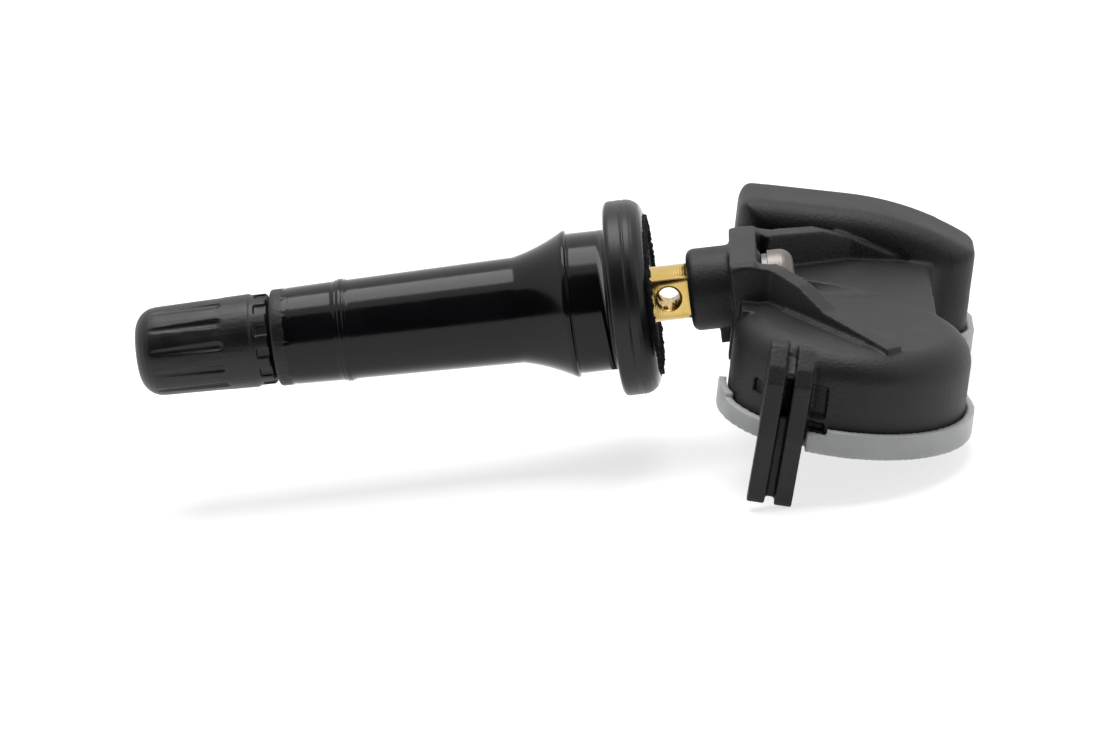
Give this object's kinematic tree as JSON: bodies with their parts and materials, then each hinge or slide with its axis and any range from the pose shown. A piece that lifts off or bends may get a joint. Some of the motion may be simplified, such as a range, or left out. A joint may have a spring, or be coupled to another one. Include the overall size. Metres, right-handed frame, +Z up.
{
  "type": "tyre pressure sensor",
  "caption": "Snap-in tyre valve in black rubber with a fluted cap, a brass bar and a moulded sensor housing clamped by a screw.",
  "frame": {"origin": "centre of the flange face that seats on the wheel rim", "axes": "+X along the valve's axis from the cap to the sensor, +Z up through the housing's wings, +Y towards the long back lobe"},
  "size_m": [0.0847, 0.046, 0.0261],
  "materials": {
    "cap_plastic": "satin moulded nylon",
    "seal_rubber": "matte",
    "body_rubber": "semi-gloss moulded rubber",
    "stem_brass": "satin turned",
    "core_brass": "satin turned",
    "seal_plastic": "matte",
    "spring_steel": "bright wire",
    "screw_plating": "bright zinc plating",
    "housing_plastic": "fine moulded texture",
    "cover_plastic": "milky translucent",
    "filter_membrane": "matte membrane",
    "board_laminate": "solder mask",
    "cell_steel": "satin",
    "tab_nickel": "satin",
    "chip_resin": "matte",
    "aerial_brass": "tinned",
    "ferrite": "matte",
    "copper_wire": "enamelled wire",
    "capacitor_ceramic": "matte"
  },
  "bodies": {
    "sensor": {"rubber_body": "body_rubber", "brass_stem": "stem_brass", "core_head": "core_brass", "core_barrel": "core_brass", "core_seal_ring": "seal_plastic", "core_spring": "spring_steel", "retaining_screw": "screw_plating", "screw_washer": "screw_plating", "sensor_housing": "housing_plastic", "bottom_cover": "cover_plastic", "port_filter": "filter_membrane", "circuit_board": "board_laminate", "battery_cell": "cell_steel", "battery_tab_upper": "tab_nickel", "battery_tab_lower": "tab_nickel", "pressure_chip": "chip_resin", "aerial_strip": "aerial_brass", "wake_coil_core": "ferrite", "wake_coil_winding": "copper_wire", "crystal": "cell_steel", "capacitors": "capacitor_ceramic"},
    "cap_seal": {"cap_seal": "seal_rubber"},
    "cap": {"valve_cap": "cap_plastic"},
    "core_plunger": {"core_pin": "core_brass", "core_washer": "seal_rubber"}
  },
  "joints": [
    {"name": "cap_travel", "type": "slide", "parent": "sensor", "child": "cap_seal", "axis": [-1, 0, 0], "range_m": [0, 0.011]},
    {"name": "cap_turn", "type": "hinge", "parent": "cap_seal", "child": "cap", "pos_m": [-0.04, 0, 0], "axis": [-1, 0, 0], "range_deg": [0, 4989.2]},
    {"name": "core_press", "type": "slide", "parent": "sensor", "child": "core_plunger", "axis": [1, 0, 0], "range_m": [0, 0.0015], "stiffness_N_per_m": 1500, "springref_m": -0.001, "deforming": ["core_spring"]}
  ],
  "couplings": [
    {"joint": "cap_turn", "follows": "cap_travel", "rad_per_m": 7915.8}
  ]
}
